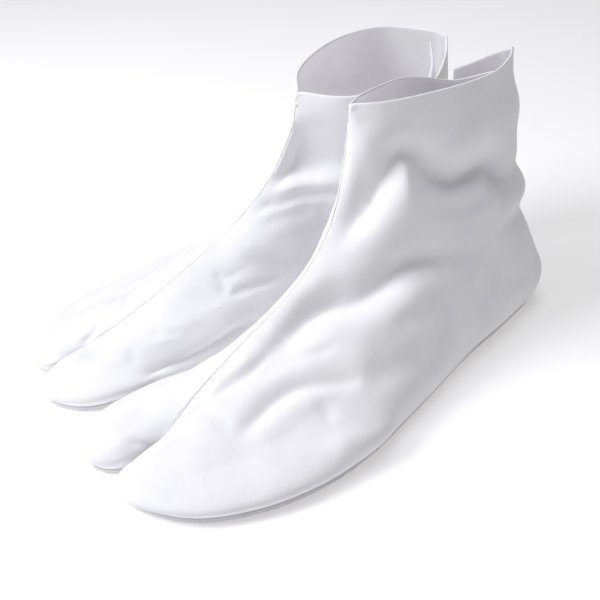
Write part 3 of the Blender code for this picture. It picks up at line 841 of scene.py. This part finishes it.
@dataclass(frozen=True)
class CottonCloth:
    """Plain-woven, bleached cotton with a light press.

    The weave gives a very fine grain, the slubs give faint streaks along both threads, and the
    handling of the cloth gives soft unevenness that breaks up the light. Sizes are in mm.
    """

    name: str
    bright: str  # the cloth's colour where it lies clean and flat
    dull: str  # a little darker, where the mottle and slubs run high
    roughness: float
    sheen: float
    thread: float = 0.55  # from thread to thread, twice a real one's, so that it shows
    thread_height: float = 0.014
    slub_length: float = 9.0
    slub_width: float = 0.7
    slub_height: float = 0.020
    crumple_size: float = 7.0
    crumple_height: float = 0.16
    crumple_detail: float = 3.0
    mottle_size: float = 24.0
    mottle_detail: float = 2.0
    slub_tint: float = 0.35  # how much the slubs show in the colour
    dull_from: float = 0.45  # the mottle at which the cloth starts to dull
    dull_to: float = 0.85  # and at which it is dull
    sheen_roughness: float = 0.35
    through: float = 0.0  # how much of its light comes through the cloth
    through_depth: float = 3.0
    through_tint: Sequence[float] = (1.0, 0.94, 0.98)

    def material(self) -> bpy.types.Material:
        """Builds the cloth's material.

        Returns:
            The material.
        """
        made = bpy.data.materials.new(self.name)
        made.use_nodes = True
        tree = made.node_tree
        add = partial(add_node, tree)
        shader = tree.nodes["Principled BSDF"].inputs
        crumple, slubs, weave, mottle = self.patterns(add)
        normal = None
        for height, size in ((crumple, self.crumple_height), (slubs, self.slub_height),
                             (weave, self.thread_height)):
            inputs = {"Height": height, "Distance": size * MM, "Strength": 1.0}
            normal = add("Bump", inputs=inputs | ({"Normal": normal} if normal else {}))[0]
        tint = add("Math", {"operation": "MULTIPLY_ADD"}, {0: slubs, 1: self.slub_tint, 2: mottle})[0]
        ramp = add("MapRange", inputs={0: tint, 1: self.dull_from, 2: self.dull_to, 3: 0.0, 4: 1.0})[0]
        colour = add("Mix", {"data_type": "RGBA"},
                     {0: ramp, 6: linear(self.bright), 7: linear(self.dull)})[2]
        tree.links.new(colour, shader["Base Color"])
        tree.links.new(normal, shader["Normal"])
        shader["Roughness"].default_value = self.roughness
        shader["Sheen Weight"].default_value = self.sheen
        shader["Sheen Roughness"].default_value = self.sheen_roughness
        shader["Subsurface Weight"].default_value = self.through
        shader["Subsurface Radius"].default_value = self.through_tint
        shader["Subsurface Scale"].default_value = self.through_depth * MM
        return made

    def patterns(self, add: Callable) -> Sequence[bpy.types.NodeSocket]:
        """The patterns that make the cloth's relief and its colour uneven.

        Args:
            add: Adds a node to the material.

        Returns:
            Sockets for the crumple, the slubs, the weave and the mottle.
        """
        place = add("TexCoord")["UV"]
        crumple, mottle = (
            add("TexNoise", inputs={"Vector": place, "Scale": 1 / (size * MM), "Detail": detail})[0]
            for size, detail in ((self.crumple_size, self.crumple_detail),
                                 (self.mottle_size, self.mottle_detail)))
        # thicker stretches of thread, along both ways of the weave
        long, wide = 1 / (self.slub_length * MM), 1 / (self.slub_width * MM)
        ways = [add("Mapping", inputs={"Vector": place, "Scale": scale})[0]
                for scale in ((long, wide, 1), (wide, long, 1))]
        ways = [add("TexNoise", inputs={"Vector": way, "Scale": 1.0, "Detail": 1.0})[0] for way in ways]
        slubs = add("Math", {"operation": "MAXIMUM"}, dict(enumerate(ways)))[0]
        # threads that pass over and under each other
        turn = math.pi / (self.thread * MM)
        split = add("SeparateXYZ", inputs={
            0: add("Mapping", inputs={"Vector": place, "Scale": (turn, turn, 1)})[0]})
        waves = [add("Math", {"operation": "SINE"}, {0: split[k]})[0] for k in (0, 1)]
        weave = add("Math", {"operation": "MULTIPLY"}, dict(enumerate(waves)))[0]
        return crumple, slubs, weave, mottle


@dataclass(frozen=True)
class Wardrobe:
    """The finishes that the pieces share."""

    # firm and smooth, almost matt, with a faint bloom where it turns away
    upper: CottonCloth = CottonCloth("cotton_broadcloth_white", "F3F2F4", "EBEAED", 0.62, 0.25)
    # dull and pale, since light that comes through it fills its shade; its faint lavender tint is painted
    # shade, the cool tone of the shaded insides
    lining: CottonCloth = CottonCloth("cotton_lining_shade_tinted", "F7F3F9", "EDE9F1", 0.85, 0.05,
                                      through=1.0, through_depth=9.0)
    # thicker threads, which make a coarser and duller face
    sole: CottonCloth = CottonCloth("cotton_sole_drill_white", "EEEEF0", "E4E4E8", 0.8, 0.1,
                                    thread=0.9, thread_height=0.05)

    def materials(self) -> dict[str, list[bpy.types.Material]]:
        """The materials of an upper, outer face first, and of a sole."""
        return {"upper_cloth": [self.upper.material(), self.lining.material()],
                "sole_cloth": [self.sole.material()]}


@dataclass(frozen=True)
class Stance:
    """Where a sock drafted as a left one is set down, in metres."""

    origin: Array  # where the frame has the draft's origin
    mirrored: bool = False
    back: float = 0.0
    aside: float = 0.0
    turn: float = 0.0

    def place(self, points: Array) -> Array:
        """Sets points down in the frame.

        Args:
            points: Points of the draft.

        Returns:
            Points of the frame.
        """
        x, y, z = np.moveaxis(points * (1, -1, 1) if self.mirrored else points, -1, 0)
        c, s = math.cos(self.turn), math.sin(self.turn)
        x, y = x * c - y * s + self.back, x * s + y * c + self.aside
        return np.stack([y, -x, z], axis=-1) + self.origin


@dataclass
class Sock:
    """One sock: two uppers and a sole."""

    name: str
    outer_cut: Cut
    inner_cut: Cut
    corner: Corner
    stance: Stance
    outer_flat: Sequence[float] = (0.30, 0.17, 0.0260)  # the cut's width, length and area
    inner_flat: Sequence[float] = (0.27, 0.16, 0.0200)
    sole_flat: Sequence[float] = (0.24, 0.09, 0.0142)
    sole_profile: Rows = ((0.9, 0.0), (0.35, 0.1), (0.08, 0.45), (0.0, 1.0), (0.0, 1.5), (0.1, 2.0),
                          (0.4, 2.3), (0.9, SOLE_CLOTH / MM))  # how far in and up, in mm

    def build(self, finishes: Mapping[str, Sequence[bpy.types.Material]]) -> list[Piece]:
        """Makes and dresses the sock's pieces.

        Args:
            finishes: The materials for each slot.

        Returns:
            The pieces.
        """
        outer, inner = Upper(self.outer_cut), Upper(self.inner_cut)
        outer_faces, inner_faces = outer.walls(inner), inner.walls(outer)
        sole = self.sole(outer.grid[:, 0], inner.grid[:, 0])
        uppers = (self.outer_upper(outer_faces, inner_faces), self.inner_upper(inner_faces))
        pieces = [*uppers, sole]
        for piece, flat in zip(pieces, (self.outer_flat, self.inner_flat, self.sole_flat)):
            slot = "sole_cloth" if piece is sole else "upper_cloth"
            for finish in finishes[slot]:
                piece.data.materials.append(finish)
            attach(piece, "root")
            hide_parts(piece.name.removesuffix("_cloth"))
        return pieces

    def outer_upper(self, own: Pair, under: Pair) -> Piece:
        """The outer upper, which runs on round the heel as a loose flap.

        Args:
            own: Its faces as far as the heel seam.
            under: The inner upper's faces, over which the flap lies.

        Returns:
            The piece.
        """
        width, low = FLAP_COLUMNS * FINE, FLAP_ROW * FINE
        faces = [np.concatenate([below[width:0:-1], mine]) for mine, below in zip(own, under)]
        sheet = Sheet(f"{self.name}_outer_upper_cloth", *map(self.stance.place, faces))
        sheet.present[:width, :low] = False
        sheet.hems[:width + CORNER_COLUMN * FINE, -1] = True
        sheet.hems[0, low:] = True
        sheet.hems[:width, low] = True
        return sheet.build()

    def inner_upper(self, own: Pair) -> Piece:
        """The inner upper, whose rear hangs loose under the flap.

        Args:
            own: Its faces.

        Returns:
            The piece.
        """
        faces = map(self.stance.place, self.tucked(*own))
        sheet = Sheet(f"{self.name}_inner_upper_cloth", *faces)
        sheet.hems[:CORNER_COLUMN * FINE, -1] = True
        sheet.hems[0, (FLAP_ROW + 1) * FINE:] = True
        return sheet.build()

    def tucked(self, face: Array, back: Array) -> Pair:
        """Moves the rear of an inner upper in under the flap, and lets its corner hang.

        Args:
            face: The outer face.
            back: The inner face.

        Returns:
            Both faces, moved.
        """
        columns, rows = np.indices(face.shape[:2]) / FINE
        aside = smooth_step((FLAP_COLUMNS + TUCK_RAMP - columns) / TUCK_RAMP)
        above = smooth_step((rows - FLAP_ROW + TUCK_RAMP) / TUCK_RAMP)
        wall = back - face
        move = (wall + unit(wall) * SEAM_GAP) * (aside * above)[..., None]
        forward, sway, drop, sag = np.array(self.corner) * MM
        height = np.clip((rows - FLAP_ROW) / (ROWS - FLAP_ROW), 0, 1)
        loose = np.clip(1 - columns / LOOSE_COLUMNS, 0, 1)
        beside = 4 * loose * (1 - loose)
        move[..., 0] += forward * height * loose
        move[..., 1] += sway * height * smooth_step(2 * loose)
        move[..., 2] -= (drop * smooth_step(loose) + sag * beside) * height
        squared = back.copy()
        squared[0] += height[0][:, None] * (wall[FINE] - wall[0])
        return face + move, squared + move

    def sole(self, outer_edge: Array, inner_edge: Array) -> Piece:
        """The flat sole with its edges rounded.

        Args:
            outer_edge: Where the outer upper stands on it.
            inner_edge: Where the inner upper stands on it.

        Returns:
            The piece.
        """
        edge = np.concatenate([outer_edge, inner_edge[-2:0:-1]])
        along = np.roll(edge, -1, axis=0) - np.roll(edge, 1, axis=0)
        inward = unit(np.stack([along[:, 1], -along[:, 0], 0 * along[:, 0]], axis=1))
        rings = [edge * (1, 1, 0) + inward * inset * MM + UP * height * MM
                 for inset, height in self.sole_profile]
        points = self.stance.place(np.concatenate(rings))
        here = np.arange(len(edge))
        faces = [list(here[::-1]), list(here + len(edge) * (len(rings) - 1))]
        for ring in range(len(rings) - 1):
            low, high = here + ring * len(edge), here + (ring + 1) * len(edge)
            faces += np.stack([low, np.roll(low, -1), np.roll(high, -1), high], axis=1).tolist()
        sole = new_object(f"{self.name}_sole_cloth", points, faces)
        open_to_edit(sole)
        bpy.ops.mesh.normals_make_consistent(inside=False)
        bpy.ops.mesh.quads_convert_to_tris()
        bpy.ops.object.mode_set(mode="OBJECT")
        lay_uvs(sole, points[:, :2])
        return sole


@dataclass
class Studio:
    """A white floor, soft light from the toes' side, and the camera."""

    floor_size: float = 8.0
    floor_colour: str = "F4F4F5"
    glow_colour: str = "FFFCF8"
    floor_glow: float = 0.25
    floor_roughness: float = 0.9
    light_colour: str = "F9FAFF"
    surround: float = 0.23
    key_from: Sequence[float] = (-0.22, -0.51, 0.56)
    key_size: float = 0.45
    key_power: float = 4.5
    top_from: Sequence[float] = (0.0, 0.0, 1.2)
    top_size: float = 0.9
    top_power: float = 5.0
    target: Sequence[float] = (0.0084, -0.0055, 0.0465)
    camera_at: Sequence[float] = (0.3232, -0.1984, 0.2772)
    roll: float = math.radians(-4.1)
    focal_share: float = 981.3 / 600  # focal length as a share of the image's width
    centre: Sequence[float] = (296.6 / 600, 265.9 / 600)
    sensor: float = 36.0
    nearest: float = 0.01

    def build(self) -> None:
        """Makes the floor, the lights and the camera."""
        self.floor()
        self.lights()
        self.camera()
        bpy.context.scene.view_settings.view_transform = "Standard"

    def floor(self) -> None:
        """A wide floor of matt paper, which glows a little so that it stays pale."""
        bpy.ops.object.select_all(action="DESELECT")
        bpy.ops.mesh.primitive_plane_add(size=self.floor_size)
        floor = bpy.context.active_object
        floor.name = "floor"
        paper = bpy.data.materials.new("matte_paper_white")
        paper.use_nodes = True
        shader = paper.node_tree.nodes["Principled BSDF"].inputs
        shader["Base Color"].default_value = linear(self.floor_colour)
        shader["Roughness"].default_value = self.floor_roughness
        shader["Emission Color"].default_value = linear(self.glow_colour)
        shader["Emission Strength"].default_value = self.floor_glow
        floor.data.materials.append(paper)

    def lights(self) -> None:
        """One large soft light, a weaker one straight above, and an even surround."""
        for name, place, size, power in (("key", self.key_from, self.key_size, self.key_power),
                                         ("top", self.top_from, self.top_size, self.top_power)):
            light = bpy.data.lights.new(name, "AREA")
            light.shape = "DISK"
            light.size = size
            light.energy = power
            light.color = linear(self.light_colour)[:3]
            lamp = placed(name, light)
            lamp.location = place
            lamp.rotation_euler = (-Vector(place)).to_track_quat("-Z", "Y").to_euler()
        world = bpy.data.worlds.new("surround")
        world.use_nodes = True
        sky = world.node_tree.nodes["Background"].inputs
        sky["Color"].default_value = linear("FFFFFF")
        sky["Strength"].default_value = self.surround
        bpy.context.scene.world = world

    def camera(self) -> None:
        """A camera above the outer side of the left sock, looking down at the pair."""
        data = bpy.data.cameras.new("camera")
        data.sensor_width = self.sensor
        data.lens = self.sensor * self.focal_share
        data.shift_x, data.shift_y = 0.5 - self.centre[0], self.centre[1] - 0.5
        data.clip_start = self.nearest
        camera = placed("camera", data)
        ahead = (Vector(self.target) - Vector(self.camera_at)).normalized()
        level = ahead.cross(Vector((0, 0, 1))).normalized()
        above = level.cross(ahead)
        right = level * math.cos(self.roll) + above * math.sin(self.roll)
        up = above * math.cos(self.roll) - level * math.sin(self.roll)
        turned = Matrix((right, up, -ahead)).transposed().to_4x4()
        camera.matrix_world = Matrix.Translation(self.camera_at) @ turned
        bpy.context.scene.camera = camera


def draft_origin() -> Array:
    """Where the frame has the draft's origin, found from the left sole.

    Returns:
        A point in metres.
    """
    at = np.arange(COLUMNS + 1) / COLUMNS
    edges = [flow_through(KNOTS, cut.foot, at) for cut in (LEFT_OUTER, LEFT_INNER)]
    least = np.min(edges, axis=(0, 1)) * MM
    lowest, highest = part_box("left_sole")
    return np.array([lowest.x - least[1], highest.y + least[0], 0.0])


def main() -> None:
    """Builds the pair and its studio."""
    logging.basicConfig(level=logging.INFO, format="%(name)s: %(message)s")
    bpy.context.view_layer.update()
    origin = draft_origin()
    left = Sock("left", LEFT_OUTER, LEFT_INNER, Corner(forward=6.0, sway=3.0, drop=7.0, sag=0.0),
                Stance(origin))
    right = Sock("right", RIGHT_OUTER, RIGHT_INNER, Corner(forward=5.0, sway=3.0, drop=3.0, sag=4.0),
                 Stance(origin, True, back=-1.7 * MM, aside=-53.0 * MM, turn=math.radians(-3.6)))
    finishes = Wardrobe().materials()
    for sock in (left, right):
        for piece in sock.build(finishes):
            log.info("%s: %d faces", piece.name, len(piece.data.polygons))
    Studio().build()


if __name__ == "__main__":
    main()
